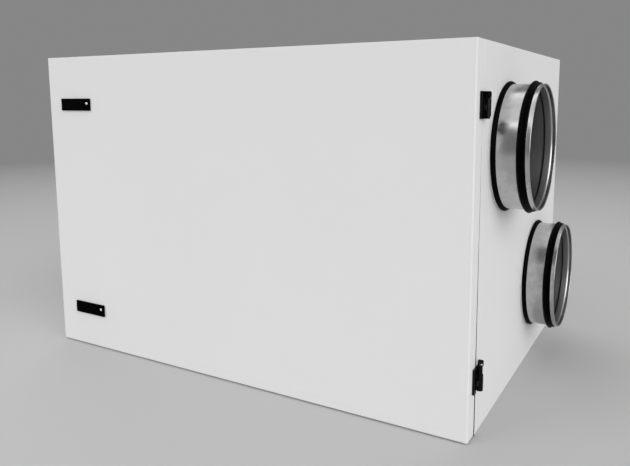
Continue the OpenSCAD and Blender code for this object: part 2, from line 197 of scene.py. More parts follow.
def make_floor():
    mesh = bpy.data.meshes.new("floor")
    shape = bmesh.new()
    bmesh.ops.create_circle(shape, cap_ends=True, radius=FLOOR_RADIUS,
                            segments=FLOOR_SIDES)
    shape.to_mesh(mesh)
    shape.free()
    material = bpy.data.materials.new("pale_floor")
    material.use_nodes = True
    tree = material.node_tree
    tree.nodes.clear()
    coords = add_node(tree, "ShaderNodeTexCoord")
    reach = add_node(tree, "ShaderNodeVectorMath")
    reach.operation = "LENGTH"
    tree.links.new(coords.outputs["Object"], reach.inputs[0])
    fade = map_range(tree, reach.outputs["Value"], FADE_FROM, FADE_TO, 0.0, 1.0)
    near = add_node(tree, "ShaderNodeBsdfDiffuse", Color=grey(FLOOR_TONE))
    far = add_node(tree, "ShaderNodeEmission", Color=grey(WALL_TONE), Strength=1.0)
    mix = add_node(tree, "ShaderNodeMixShader")
    tree.links.new(fade, mix.inputs["Fac"])
    tree.links.new(near.outputs[0], mix.inputs[1])
    tree.links.new(far.outputs[0], mix.inputs[2])
    out = add_node(tree, "ShaderNodeOutputMaterial")
    tree.links.new(mix.outputs[0], out.inputs["Surface"])
    mesh.materials.append(material)
    new_object("floor", mesh)
    print("floor disc", FLOOR_RADIUS, "m")


make_floor()

# %% [markdown]
# Large softboxes stand far away, so that the light hardly falls off along the door. The key
# comes from the front right, which lights the door, the end panel and most of all the fold
# between them. The fill from the front left evens out the door, and a third one behind
# keeps the sides that the photo doesn't show from going dull. Each is so large that its
# mirror image on the casing's top stays below white.

# %% Lamps
KEY_AT, KEY_SIZE, KEY_WATTS = Vector((13.0, -8.4, 7.5)), 17.0, 1900.0
FILL_AT, FILL_SIZE, FILL_WATTS = Vector((-9.0, -10.0, 5.0)), 9.0, 565.0
BACK_AT, BACK_SIZE, BACK_WATTS = Vector((-10.0, 11.0, 6.0)), 14.0, 950.0
AIM_POINT = Vector((0.1, 0.0, 0.5))


def softbox(name, place, size, watts):
    data = bpy.data.lights.new(name, "AREA")
    data.shape = "SQUARE"
    data.size = size
    data.energy = watts
    lamp = bpy.data.objects.new(name, data)
    turn = (AIM_POINT - place).to_track_quat("-Z", "Y").to_matrix().to_4x4()
    lamp.matrix_world = Matrix.Translation(place) @ turn
    bpy.context.scene.collection.objects.link(lamp)
    print(name, "softbox", watts, "W")


softbox("key", KEY_AT, KEY_SIZE, KEY_WATTS)
softbox("fill", FILL_AT, FILL_SIZE, FILL_WATTS)
softbox("back", BACK_AT, BACK_SIZE, BACK_WATTS)

# %% [markdown]
# The casing is powder coated: a satin white with a very fine orange peel. Noise on Object
# coordinates varies the tone and the gloss a little, and a much finer noise is the peel, as
# a bump of a few thousandths of a millimetre.

# %% Powder coat
COAT_TONE, COAT_TONE_SCALE = (0.788, 0.80), 1.6
COAT_ROUGH, COAT_ROUGH_SCALE = (0.54, 0.57), 2.4
COAT_GLOSS = 0.16
PEEL_SCALE, PEEL_DETAIL, PEEL_STRENGTH, PEEL_DEPTH = 420.0, 3.0, 0.02, 0.0003
NOISE_LOW, NOISE_HIGH = 0.3, 0.7


def start_material(name, **values):
    material = bpy.data.materials.new(name)
    material.use_nodes = True
    tree = material.node_tree
    shader = tree.nodes["Principled BSDF"]
    for key, value in values.items():
        shader.inputs[key.replace("_", " ")].default_value = value
    coords = add_node(tree, "ShaderNodeTexCoord")
    return material, tree, shader, coords.outputs["Object"]


def noise(tree, place, scale, detail=2.0):
    node = add_node(tree, "ShaderNodeTexNoise", Scale=scale, Detail=detail)
    tree.links.new(place, node.inputs["Vector"])
    return node.outputs["Fac"]


def drive(tree, shader, socket, source, low, high):
    """Spreads a noise, which seldom leaves its middle range, from low to high."""
    spread = map_range(tree, source, NOISE_LOW, NOISE_HIGH, low, high)
    tree.links.new(spread, shader.inputs[socket])


def bump(tree, shader, source, strength, distance):
    node = add_node(tree, "ShaderNodeBump", Strength=strength, Distance=distance)
    tree.links.new(source, node.inputs["Height"])
    tree.links.new(node.outputs["Normal"], shader.inputs["Normal"])


def powder_coat():
    material, tree, shader, place = start_material("white_powder_coat", Specular_IOR_Level=COAT_GLOSS)
    drive(tree, shader, "Base Color", noise(tree, place, COAT_TONE_SCALE), *COAT_TONE)
    drive(tree, shader, "Roughness", noise(tree, place, COAT_ROUGH_SCALE), *COAT_ROUGH)
    bump(tree, shader, noise(tree, place, PEEL_SCALE, PEEL_DETAIL), PEEL_STRENGTH, PEEL_DEPTH)
    return material


WHITE = powder_coat()
print("material", WHITE.name)

# %% [markdown]
# Hot-dip galvanised sheet shows a spangle: zinc crystals of a centimetre or so, each a
# slightly different grey and gloss. Voronoi cells give every crystal its own value. A slow
# noise on the normal is the slight waviness of rolled sheet. On the spigots two values that
# the mesh itself carries make the inside rougher and darker, the darker tone being painted
# shade, and paint a near-black band of shade along the inside of the groove's fold.

# %% Galvanised sheet
SPANGLE_SCALE = 85.0
WAVY_SCALE, WAVY_STRENGTH, WAVY_DEPTH = 26.0, 0.10, 0.0006
# The inside is rougher, and its lower tone is painted shade for the shade inside the tube.
INSIDE_ROUGH, INSIDE_SHADE_TONE = 0.42, 0.40
# Near-black tone of the painted shade along the inside of the groove's fold.
FOLD_SHADE_TONE = 0.004


def crystals(tree, place, scale):
    node = add_node(tree, "ShaderNodeTexVoronoi", Scale=scale, Randomness=1.0)
    tree.links.new(place, node.inputs["Vector"])
    split = add_node(tree, "ShaderNodeSeparateColor")
    tree.links.new(node.outputs["Color"], split.inputs["Color"])
    return split.outputs["Red"]


def galvanised(name, dark, light, smooth, rough):
    material, tree, shader, place = start_material(name, Metallic=1.0)
    spangle = crystals(tree, place, SPANGLE_SCALE)
    tree.links.new(map_range(tree, spangle, 0.0, 1.0, dark, light), shader.inputs["Base Color"])
    tree.links.new(map_range(tree, spangle, 1.0, 0.0, smooth, rough), shader.inputs["Roughness"])
    bump(tree, shader, noise(tree, place, WAVY_SCALE), WAVY_STRENGTH, WAVY_DEPTH)
    return material


def own_value(tree, name):
    node = add_node(tree, "ShaderNodeAttribute")
    node.attribute_name = name
    return node.outputs["Fac"]


def blend_in(tree, socket, share, target):
    """Moves what a socket is given towards a target, by a share from 0 to 1."""
    node = add_node(tree, "ShaderNodeMix")
    tree.links.new(share, node.inputs["Factor"])
    tree.links.new(socket.links[0].from_socket, node.inputs["A"])
    node.inputs["B"].default_value = target
    tree.links.new(node.outputs["Result"], socket)


def tube_sheet():
    material = galvanised("galvanised_tube", dark=0.48, light=0.54, smooth=0.20, rough=0.25)
    tree = material.node_tree
    shader = tree.nodes["Principled BSDF"]
    blend_in(tree, shader.inputs["Roughness"], own_value(tree, "inside"), INSIDE_ROUGH)
    # Painted shade: the inside of each tube gets a darker tone than the outside.
    blend_in(tree, shader.inputs["Base Color"], own_value(tree, "inside"), INSIDE_SHADE_TONE)
    # Painted shade: a near-black band along the inside of the groove's fold.
    blend_in(tree, shader.inputs["Base Color"], own_value(tree, "fold_shade"), FOLD_SHADE_TONE)
    return material


TUBE_SHEET = tube_sheet()
INNER_SHEET = galvanised("galvanised_inside", dark=0.56, light=0.61, smooth=0.31, rough=0.37)
print("materials", TUBE_SHEET.name, INNER_SHEET.name)

# %% [markdown]
# Rubber, moulded hinges and latches are all near black, and differ in gloss. Rubber is the
# softest, the hinges have a sheen that shows their barrels, and the latches are matt with
# a fine moulded grain.

# %% Black parts
MOTTLE_SCALE, SHEEN_SCALE = 45.0, 110.0
GRAIN_DETAIL, GRAIN_STRENGTH = 4.0, 0.2


def near_black(name, tone, rough, grain, height, gloss):
    """The tone varies by a quarter and the roughness by a tenth, both ways."""
    material, tree, shader, place = start_material(name, Specular_IOR_Level=gloss)
    drive(tree, shader, "Base Color", noise(tree, place, MOTTLE_SCALE), tone * 0.75, tone * 1.25)
    drive(tree, shader, "Roughness", noise(tree, place, SHEEN_SCALE), rough * 0.9, rough * 1.1)
    bump(tree, shader, noise(tree, place, grain, GRAIN_DETAIL), GRAIN_STRENGTH, height)
    return material


RUBBER = near_black("black_rubber", tone=0.0011, rough=0.40, grain=700.0,
                    height=0.00005, gloss=0.02)
HINGE_BLACK = near_black("hinge_plastic", tone=0.0012, rough=0.17, grain=900.0,
                         height=0.00003, gloss=0.18)
LATCH_BLACK = near_black("latch_plastic", tone=0.0007, rough=0.45, grain=1100.0,
                         height=0.00005, gloss=0.01)
MOTOR_BLACK = near_black("motor_enamel", tone=0.020, rough=0.38, grain=300.0,
                         height=0.00008, gloss=0.4)
FAN_GREY = near_black("fan_moulding", tone=0.055, rough=0.45, grain=500.0,
                      height=0.00005, gloss=0.4)
print("black and grey plastics, rubber and enamel")

# %% [markdown]
# Every panel and the door are folded sheet, so no edge is a knife edge. A copy of each
# solid is merged, its flat faces are joined up, and a Bevel rounds its edges to the fold of
# thin sheet. Weighted normals keep the big faces flat right up to the fold.

# %% Helpers for solids with rounded edges
MERGE = 1e-5
FLAT_WITHIN = math.radians(0.6)
FOLD_FROM = math.radians(35)


def merged_copy(node):
    shape = bmesh.new()
    shape.from_mesh(nodes[node].data)
    bmesh.ops.remove_doubles(shape, verts=shape.verts, dist=MERGE)
    bmesh.ops.dissolve_limit(shape, angle_limit=FLAT_WITHIN, verts=shape.verts, edges=shape.edges)
    return shape


def settle(piece):
    """Makes what the modifiers show the piece's own plain mesh."""
    graph = bpy.context.evaluated_depsgraph_get()
    mesh = bpy.data.meshes.new_from_object(piece.evaluated_get(graph))
    piece.modifiers.clear()
    piece.data = mesh
    return piece


def rounded(name, shape, material, edge, steps=3):
    mesh = bpy.data.meshes.new(name)
    shape.to_mesh(mesh)
    shape.free()
    mesh.materials.clear()
    mesh.materials.append(material)
    mesh.shade_smooth()
    piece = new_object(name, mesh)
    fold = piece.modifiers.new("fold", "BEVEL")
    fold.width = edge
    fold.segments = steps
    fold.limit_method = "ANGLE"
    fold.angle_limit = FOLD_FROM
    even = piece.modifiers.new("even", "WEIGHTED_NORMAL")
    even.weight = 100
    return settle(piece)


def hand_over(piece, body, slot, *replaced):
    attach(piece, body)
    if replaced:
        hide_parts(*replaced)
    print(piece.name, len(piece.data.polygons), "faces on", body)


# %% [markdown]
# The five panels of the casing need no more than the fold. Each skin replaces the solid that
# it is a copy of, and rides on the same body.

# %% Panels
SHEET_FOLD = 0.0008
for panel in ("bottom_panel", "top_panel", "back_panel", "left_end_panel", "right_end_panel"):
    skin = rounded(panel + "_skin", merged_copy(panel), WHITE, SHEET_FOLD)
    hand_over(skin, "casing", "casing_white", panel)

# %% [markdown]
# The seam in the photo is widest at the foot of the door and closes towards the top. So the
# rim at the back of the door's skin is drawn towards the casing, by a share of the height.

# %% Door
SEAM, SEAM_CLOSES = 0.005, 0.0036


def seam_share(height):
    return SEAM_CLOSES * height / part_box("door")[1][2]


door_skin = rounded("door_skin", merged_copy("door"), WHITE, SHEET_FOLD)
door_back = max(spot.co.y for spot in door_skin.data.vertices)
for spot in door_skin.data.vertices:
    if spot.co.y > door_back - 2 * SHEET_FOLD:
        spot.co.y += seam_share(spot.co.z)
hand_over(door_skin, "door", "casing_white", "door")

# %% [markdown]
# Shapes that follow a rule are grown by Geometry Nodes. Each tree has named inputs, and what it
# grows is made a plain mesh at once. These helpers start, link, end and run a tree.

# %% Helpers for Geometry Nodes
WELD = 1e-6


def start_tree(name, inputs):
    tree = bpy.data.node_groups.new(name, "GeometryNodeTree")
    sockets = {}
    for label, kind in inputs:
        made = tree.interface.new_socket(label, in_out="INPUT", socket_type="NodeSocket" + kind)
        sockets[label] = made.identifier
    tree.interface.new_socket("Geometry", in_out="OUTPUT", socket_type="NodeSocketGeometry")
    given = tree.nodes.new("NodeGroupInput")
    return tree, sockets, given


def chain(tree, *steps):
    for (source, out_name), (target, in_name) in zip(steps[0::2], steps[1::2]):
        tree.links.new(source.outputs[out_name], target.inputs[in_name])


def end_tree(tree, given, last, out_name):
    whole = tree.nodes.new("GeometryNodeRealizeInstances")
    coat = tree.nodes.new("GeometryNodeSetMaterial")
    out = tree.nodes.new("NodeGroupOutput")
    chain(tree, (last, out_name), (whole, "Geometry"), (whole, "Geometry"), (coat, "Geometry"),
          (given, "Material"), (coat, "Material"), (coat, "Geometry"), (out, "Geometry"))


def grown(name, recipe, values, start=None):
    """Runs a tree on a new piece, with its named inputs set, and keeps the plain mesh."""
    tree, sockets = recipe
    piece = new_object(name, start or bpy.data.meshes.new(name))
    growth = piece.modifiers.new("growth", "NODES")
    growth.node_group = tree
    for label, value in values.items():
        growth[sockets[label]] = value
    settle(piece)
    shape = bmesh.new()
    shape.from_mesh(piece.data)
    bmesh.ops.remove_doubles(shape, verts=shape.verts, dist=WELD)
    bmesh.ops.recalc_face_normals(shape, faces=shape.faces)
    shape.to_mesh(piece.data)
    shape.free()
    return piece


# %% [markdown]
# A spigot is rolled sheet: a plain tube, a groove swaged in for the seal, and a rim that is
# folded back on itself. Its shape follows one rule, a profile turned about an axis, so a tree
# revolves it: the profile's corners are filleted, then swept round a circle.

# %% Turned profiles
FILLET_STEPS = 4
TURN_STEPS = 180


def swept_profile(tree, given, path, path_out):
    upright = tree.nodes.new("GeometryNodeSetCurveNormal")
    upright.mode = "Z_UP"
    section = tree.nodes.new("GeometryNodeObjectInfo")
    soft = tree.nodes.new("GeometryNodeFilletCurve")
    soft.mode = "POLY"
    soft.inputs["Limit Radius"].default_value = True
    soft.inputs["Count"].default_value = FILLET_STEPS
    sweep = tree.nodes.new("GeometryNodeCurveToMesh")
    sweep.inputs["Fill Caps"].default_value = True
    shade = tree.nodes.new("GeometryNodeSetShadeSmooth")
    chain(tree, (path, path_out), (upright, "Curve"), (given, "Profile"), (section, "Object"),
          (section, "Geometry"), (soft, "Curve"), (given, "Corner"), (soft, "Radius"),
          (upright, "Curve"), (sweep, "Curve"), (soft, "Curve"), (sweep, "Profile Curve"),
          (sweep, "Mesh"), (shade, "Geometry"))
    return shade


def revolve_tree():
    tree, sockets, given = start_tree("turned_profile", (
        ("Radius", "Float"), ("Steps", "Int"), ("Corner", "Float"), ("Profile", "Object"),
        ("Material", "Material")))
    circle = tree.nodes.new("GeometryNodeCurvePrimitiveCircle")
    chain(tree, (given, "Radius"), (circle, "Radius"), (given, "Steps"), (circle, "Resolution"))
    end_tree(tree, given, swept_profile(tree, given, circle, "Curve"), "Geometry")
    return tree, sockets


def profile_curve(points):
    data = bpy.data.curves.new("profile", "CURVE")
    data.dimensions = "3D"
    line = data.splines.new("POLY")
    line.points.add(len(points) - 1)
    for spot, (x, y) in zip(line.points, points):
        spot.co = (x, y, 0.0, 1.0)
    line.use_cyclic_u = True
    return new_object("profile", data)


TURNED = revolve_tree()


def turned(name, points, corner, material, place, steps=TURN_STEPS):
    """points are (radius, height) in metres, turned about the Z axis of place."""
    reach = max(radius for radius, height in points)
    section = profile_curve([(radius - reach, -height) for radius, height in points])
    piece = grown(name, TURNED, {"Radius": reach, "Steps": steps, "Corner": corner,
                                 "Profile": section, "Material": material})
    bpy.data.objects.remove(section)
    piece.data.transform(place)
    return piece


print("tree", TURNED[0].name, "with", len(TURNED[0].nodes), "nodes")

# %% [markdown]
# The profile runs along the outside from the panel to the rim, round the folded nose and back
# along the inside. Its points are (radius, height over the end panel) in millimetres; END_X and
# the rounding of corners are in metres. Two values on the mesh then say what is inside, which
# gets a painted shade, and where a near-black band of painted shade lies in the groove's fold.

# %% Spigots
MM = 0.001
TUBE_R = 156.8
PANEL_T = 50.0
SHEET_T = 1.5
GROOVE_AT, GROOVE_W, GROOVE_DEEP = 62.0, 21.0, 4.0
SPIGOT_OUT = 93.5
NOSE_STEPS = 8
NEAR = 1.0
# Width in millimetres of the band of painted shade inside the groove's fold.
FOLD_SHADE_W = 3.0
END_X = 0.7
TUBE_CORNER = 0.0012


def in_metres(points):
    return [(a * MM, b * MM) for a, b in points]


def arc(centre, radius, start_deg, end_deg, steps):
    turn = [math.radians(start_deg + (end_deg - start_deg) * i / steps) for i in range(steps + 1)]
    return [(centre[0] + radius * math.cos(a), centre[1] + radius * math.sin(a)) for a in turn]


def spigot_profile():
    groove_end = GROOVE_AT + GROOVE_W
    groove_r = TUBE_R - GROOVE_DEEP
    hem_t = 2 * SHEET_T
    nose = arc((TUBE_R - hem_t / 2, SPIGOT_OUT - hem_t / 2), hem_t / 2, 0, 180, NOSE_STEPS)
    return [
        (TUBE_R, -PANEL_T), (TUBE_R, GROOVE_AT), (groove_r, GROOVE_AT + GROOVE_DEEP),
        (groove_r, groove_end - GROOVE_DEEP), (TUBE_R, groove_end), *nose,
        (TUBE_R - hem_t, groove_end + SHEET_T),
        (groove_r - SHEET_T, groove_end - SHEET_T),
        (groove_r - SHEET_T, GROOVE_AT + GROOVE_DEEP + NEAR),
        (groove_r - SHEET_T, GROOVE_AT + GROOVE_DEEP - SHEET_T),
        (TUBE_R - SHEET_T, GROOVE_AT - SHEET_T),
        (TUBE_R - SHEET_T, GROOVE_AT - 2 * SHEET_T), (TUBE_R - SHEET_T, -PANEL_T)]


def spigot_place(node):
    low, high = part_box(node)
    side = 1 if low[0] > 0 else -1
    middle = Vector((side * END_X, (low[1] + high[1]) / 2, (low[2] + high[2]) / 2))
    return Matrix.Translation(middle) @ Matrix.Rotation(side * math.pi / 2, 4, "Y")


def mark_inside(mesh, middle):
    inside = mesh.attributes.new("inside", "FLOAT", "POINT").data
    fold_shade = mesh.attributes.new("fold_shade", "FLOAT", "POINT").data
    groove_end = GROOVE_AT + GROOVE_W
    for spot, dull, dark in zip(mesh.vertices, inside, fold_shade):
        radius = math.hypot(spot.co.y - middle.y, spot.co.z - middle.z) / MM
        height = (abs(spot.co.x) - END_X) / MM
        in_groove = GROOVE_AT + NEAR < height < groove_end - NEAR
        skin = TUBE_R - (GROOVE_DEEP if in_groove else 0.0)
        within = radius < skin - SHEET_T / 2
        # at_fold marks where the band of painted shade lies inside the groove's fold.
        at_fold = GROOVE_AT - NEAR < height < GROOVE_AT + FOLD_SHADE_W
        dull.value = 1.0 if within and height < groove_end else 0.0
        dark.value = 1.0 if within and at_fold else 0.0


SPIGOTS = [f"{end}_{level}" for end in ("right", "left") for level in ("upper", "lower")]
for spot in SPIGOTS:
    tube = turned(spot + "_rolled_tube", in_metres(spigot_profile()), TUBE_CORNER, TUBE_SHEET,
                  spigot_place(spot + "_spigot"))
    mark_inside(tube.data, spigot_place(spot + "_spigot").translation)
    hand_over(tube, "casing", "galvanised", spot + "_spigot")

# %% [markdown]
# The rubber seal is bedded in the groove. It has a high lip and a low lip nearer the rim,
# which bend over when a duct is pushed on. The base ring closes the gap between tube and
# panel: a round bead that slopes down to the tube. Under it the panel's sheet is turned out
# to a narrow collar. All three are turned profiles too, in millimetres.

# %% Seals and base rings
LIP_H, LOW_LIP, LIP_SPLIT = 7.5, 0.45, 0.6
LIP_ROOT, LIP_VALLEY = 1.2, 1.8
RING_T, RING_W, RING_FOOT = 16.5, 7.0, 4.0
BEAD_STEPS = 14
COLLAR_DEEP = 1.0
FIT = 0.3
SEAL_CORNER, RING_CORNER, COLLAR_CORNER = 0.0009, 0.0005, 0.0004


def seal_profile():
    """From the bed up the high lip, through the valley, over the low lip and back."""
    bed = TUBE_R - GROOVE_DEEP + FIT
    start, end = GROOVE_AT + 2 * FIT, GROOVE_AT + GROOVE_W - 2 * FIT
    split = start + LIP_SPLIT * (end - start)
    high, low = TUBE_R + LIP_H, TUBE_R + LOW_LIP * LIP_H
    return [
        (bed, GROOVE_AT + GROOVE_DEEP + FIT), (TUBE_R, start), (TUBE_R + LIP_ROOT, start),
        (high - LIP_ROOT, start + 3.6), (high, start + 5.2), (high - 0.2, start + 7.4),
        (TUBE_R + LIP_VALLEY, split - 0.6), (TUBE_R + LIP_VALLEY, split + 0.8),
        (low, split + 3.0), (low, split + 5.0), (TUBE_R + LIP_ROOT, end), (TUBE_R, end),
        (bed, GROOVE_AT + GROOVE_W - GROOVE_DEEP - FIT)]


def ring_profile():
    bead = RING_W / 2
    middle = (TUBE_R + FIT + bead, bead + RING_FOOT)
    foot = (TUBE_R + FIT, RING_T)
    away = Vector((foot[0] - middle[0], foot[1] - middle[1]))
    lean = math.degrees(math.atan2(away.y, away.x)) - math.degrees(math.acos(bead / away.length))
    return [(TUBE_R + FIT, RING_FOOT), *arc(middle, bead, -90, lean, BEAD_STEPS), foot]


def collar_profile():
    """The end panel's sheet, turned out a little round the hole under the ring."""
    inner, outer = TUBE_R + FIT, TUBE_R + FIT + RING_W / 2
    top = RING_FOOT - FIT
    return [(inner, -COLLAR_DEEP), (outer, -COLLAR_DEEP), (outer, top), (inner, top)]


for spot in SPIGOTS:
    where = spigot_place(spot + "_spigot")
    seal = turned(spot + "_double_lip", in_metres(seal_profile()), SEAL_CORNER, RUBBER, where)
    hand_over(seal, "casing", "rubber_black", spot + "_lip_seal")
    ring = turned(spot + "_foot_ring", in_metres(ring_profile()), RING_CORNER, RUBBER, where)
    hand_over(ring, "casing", "rubber_black", spot + "_base_ring")
    collar = turned(spot + "_panel_collar", in_metres(collar_profile()), COLLAR_CORNER, WHITE, where)
    hand_over(collar, "casing", "casing_white")

# %% [markdown]
# The gasket is one strip round the casing's front edge, with a flat D section that the door
# presses down. A strip follows a path, so Geometry Nodes sweep the section along a
# rectangle whose corners are filleted. The bends are then spread out to square corners,
# because the dark line in the seam runs right down to the edge of the cabinet.

# %% Gasket
GASKET_W = 18.0
GASKET_H = 4.7
GASKET_BEND, BEND_STEPS = 0.012, 8
GASKET_CORNER = 0.0004
CROWN, CROWN_STEPS = 0.2, 10
BULGE, BULGE_FADES_AT = 0.0017, 0.7


def strip_tree():
    tree, sockets, given = start_tree("strip_on_rectangle", (
        ("Width", "Float"), ("Height", "Float"), ("Bend", "Float"), ("Corner", "Float"),
        ("Profile", "Object"), ("Material", "Material")))
    path = tree.nodes.new("GeometryNodeCurvePrimitiveQuadrilateral")
    bend = tree.nodes.new("GeometryNodeFilletCurve")
    bend.mode = "POLY"
    bend.inputs["Count"].default_value = BEND_STEPS
    chain(tree, (given, "Width"), (path, "Width"), (given, "Height"), (path, "Height"),
          (path, "Curve"), (bend, "Curve"), (given, "Bend"), (bend, "Radius"))
    end_tree(tree, given, swept_profile(tree, given, bend, "Curve"), "Geometry")
    return tree, sockets


def gasket_section():
    half = GASKET_W / 2 * MM
    top = GASKET_H * MM
    turn = [math.pi * i / CROWN_STEPS for i in range(CROWN_STEPS + 1)]
    crown = [(half * math.cos(a), -top * (1 - CROWN + CROWN * math.sin(a))) for a in turn]
    return [(half, 0.0), *crown, (-half, 0.0)]


def press(mesh, seat, most, fades):
    """The door presses the strip flat towards the top; at its foot the strip bulges out."""
    edge = max(spot.co.x for spot in mesh.vertices) - GASKET_W * MM
    for spot in mesh.vertices:
        spot.co.y = seat + (spot.co.y - seat) * (1 - seam_share(spot.co.z) / SEAM)
        if abs(spot.co.x) > edge:
            spot.co.x += math.copysign(most * max(0.0, 1 - spot.co.z / fades), spot.co.x)


def square_corners(mesh, wide, tall):
    """Spreads the bends of a strip round a rectangle out to square corners."""
    for spot in mesh.vertices:
        across = abs(spot.co.x) - wide / 2 + GASKET_BEND
        up = abs(spot.co.y) - tall / 2 + GASKET_BEND
        if across > 0 and up > 0:
            stretch = math.hypot(across, up) / max(across, up) - 1
            spot.co.x += math.copysign(across * stretch, spot.co.x)
            spot.co.y += math.copysign(up * stretch, spot.co.y)


def make_gasket():
    low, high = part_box("door_gasket")
    wide, tall = high[0] - low[0] - GASKET_W * MM, high[2] - low[2] - GASKET_W * MM
    section = profile_curve(gasket_section())
    strip = grown("door_seal_strip", strip_tree(), {
        "Width": wide, "Height": tall, "Bend": GASKET_BEND, "Corner": GASKET_CORNER,
        "Profile": section, "Material": RUBBER})
    bpy.data.objects.remove(section)
    square_corners(strip.data, wide, tall)
    middle = Vector(((low[0] + high[0]) / 2, high[1], (low[2] + high[2]) / 2))
    strip.data.transform(Matrix.Translation(middle) @ Matrix.Rotation(math.pi / 2, 4, "X"))
    press(strip.data, high[1], BULGE, BULGE_FADES_AT)
    hand_over(strip, "casing", "rubber_black", "door_gasket")


make_gasket()

# %% [markdown]
# Hinges and latches are small mouldings. Their solids already have the right shapes, so a
# copy of each with fine rounded edges is enough, and the edges catch the light.

# %% Hinges and latches
LEVELS = ("upper", "lower")
FEW_STEPS = 2
HINGE_PARTS = (("hinge_door_leaf", "door", 0.0008), ("hinge_casing_leaf", "casing", 0.0008),
               ("hinge_pin", "casing", 0.0006))
LATCH_PARTS = (("latch_plate", 0.0006), ("latch_lever", 0.0005))
for level in LEVELS:
    for part, body, edge in HINGE_PARTS:
        node = f"{level}_{part}"
        moulding = rounded(node + "_moulding", merged_copy(node), HINGE_BLACK, edge, FEW_STEPS)
        hand_over(moulding, body, "hinge_black", node)
    for part, edge in LATCH_PARTS:
        node = f"{level}_{part}"
        moulding = rounded(node + "_moulding", merged_copy(node), LATCH_BLACK, edge, FEW_STEPS)
        hand_over(moulding, "door", "latch_black", node)

# %% [markdown]
# Each latch has a round key insert of bright metal. It is a turned piece too: a low dome with
# a round socket and a pin in the middle of it. The dome catches light from all sides, so the
# insert shows as a small bright spot on the black plate. The profile's points are shares of
# its radius and height.

# %% Key inserts
STEEL_TONE, STEEL_ROUGH = (0.86, 0.94), (0.22, 0.30)
INSERT_R, INSERT_H = 4.5, 2.5
INSERT_CORNER, INSERT_STEPS = 0.0002, 48
INSERT_SHARES = (
    (0.0, 0.0), (1.0, 0.0), (1.0, 0.5), (0.92, 0.78), (0.72, 1.05), (0.46, 1.22), (0.38, 1.2),
    (0.36, 0.5), (0.2, 0.5), (0.18, 1.15), (0.0, 1.2))


def bright_metal():
    material, tree, shader, place = start_material("key_steel", Metallic=1.0)
    drive(tree, shader, "Base Color", noise(tree, place, scale=300.0), *STEEL_TONE)
    drive(tree, shader, "Roughness", noise(tree, place, scale=500.0), *STEEL_ROUGH)
    bump(tree, shader, noise(tree, place, scale=1500.0), strength=0.1, distance=0.00002)
    return material


def insert_profile():
    return [(INSERT_R * across, INSERT_H * up) for across, up in INSERT_SHARES]


KEY_STEEL = bright_metal()
for level in LEVELS:
    low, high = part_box(f"{level}_latch_key")
    seat = Vector(((low[0] + high[0]) / 2, high[1], (low[2] + high[2]) / 2))
    key = turned(f"{level}_key_insert", in_metres(insert_profile()), INSERT_CORNER, KEY_STEEL,
                 Matrix.Translation(seat) @ Matrix.Rotation(math.pi / 2, 4, "X"), INSERT_STEPS)
    hand_over(key, "door", "key_metal", f"{level}_latch_key")

# %% [markdown]
# Rivets and screws show as small round heads in rows. The same head repeats on many points, so
# a tree sets one on every point it is given and turns it to face the right way.

# %% Heads on points
HEAD_SIDES = 10


def heads_tree():
    tree, sockets, given = start_tree("heads_on_points", (
        ("Geometry", "Geometry"), ("Head", "Object"), ("Turn", "Vector"), ("Material", "Material")))
    head = tree.nodes.new("GeometryNodeObjectInfo")
    set_on = tree.nodes.new("GeometryNodeInstanceOnPoints")
    turn = tree.nodes.new("FunctionNodeEulerToRotation")
    shade = tree.nodes.new("GeometryNodeSetShadeSmooth")
    chain(tree, (given, "Head"), (head, "Object"), (head, "Geometry"), (set_on, "Instance"),
          (given, "Geometry"), (set_on, "Points"), (given, "Turn"), (turn, "Euler"),
          (turn, "Rotation"), (set_on, "Rotation"), (set_on, "Instances"), (shade, "Geometry"))
    end_tree(tree, given, shade, "Geometry")
    return tree, sockets


def head_form(radius, height):
    """A low round head with a dimple, standing on the origin along +Z."""
    rows = [(radius, 0.0), (radius, height * 0.4), (radius * 0.75, height * 0.85),
            (radius * 0.4, height), (radius * 0.22, height * 0.55)]
    shape = bmesh.new()
    turn = [2 * math.pi * i / HEAD_SIDES for i in range(HEAD_SIDES)]
    rings = [[shape.verts.new((r * math.cos(a), r * math.sin(a), h)) for a in turn] for r, h in rows]
    for lower, upper in zip(rings, rings[1:]):
        for i in range(HEAD_SIDES):
            j = (i + 1) % HEAD_SIDES
            shape.faces.new((lower[i], lower[j], upper[j], upper[i]))
    shape.faces.new(rings[-1])
    shape.faces.new(list(reversed(rings[0])))
    mesh = bpy.data.meshes.new("head")
    shape.to_mesh(mesh)
    shape.free()
    return new_object("head", mesh)


HEADS = heads_tree()


def heads(name, points, turn, radius, height, material):
    spots = bpy.data.meshes.new(name)
    spots.from_pydata([tuple(p) for p in points], [], [])
    form = head_form(radius * MM, height * MM)
    piece = grown(name, HEADS, {"Head": form, "Turn": turn, "Material": material}, spots)
    bpy.data.objects.remove(form)
    return piece


print("tree", HEADS[0].name)

# %% [markdown]
# Behind the door the casing is bare galvanised sheet. The door has an inner pan, a shallow
# tray that stiffens it, riveted round its edge. It is a flat box with rounded edges that
# laps a little into the door, and the rivets' heads sit a little below its face.

# %% Door pan and its rivets
PAN_INSET, PAN_T, PAN_EDGE = 60.0, 4.0, 0.0025
PAN_LAP = 0.0005
RIVET_R, RIVET_H = 3.2, 1.4
RIVET_INSET, RIVET_SINK = 0.014, 0.0003
RIVETS_ACROSS, RIVETS_UP = 10, 6
FACE_BACK, FACE_FRONT = (-math.pi / 2, 0.0, 0.0), (math.pi / 2, 0.0, 0.0)


def box_shape(low, high):
    shape = bmesh.new()
    bmesh.ops.create_cube(shape, size=1.0)
    middle = (Vector(low) + Vector(high)) / 2
    spread = Vector(high) - Vector(low)
    for corner in shape.verts:
        corner.co = Vector(c * d for c, d in zip(corner.co, spread)) + middle
    return shape


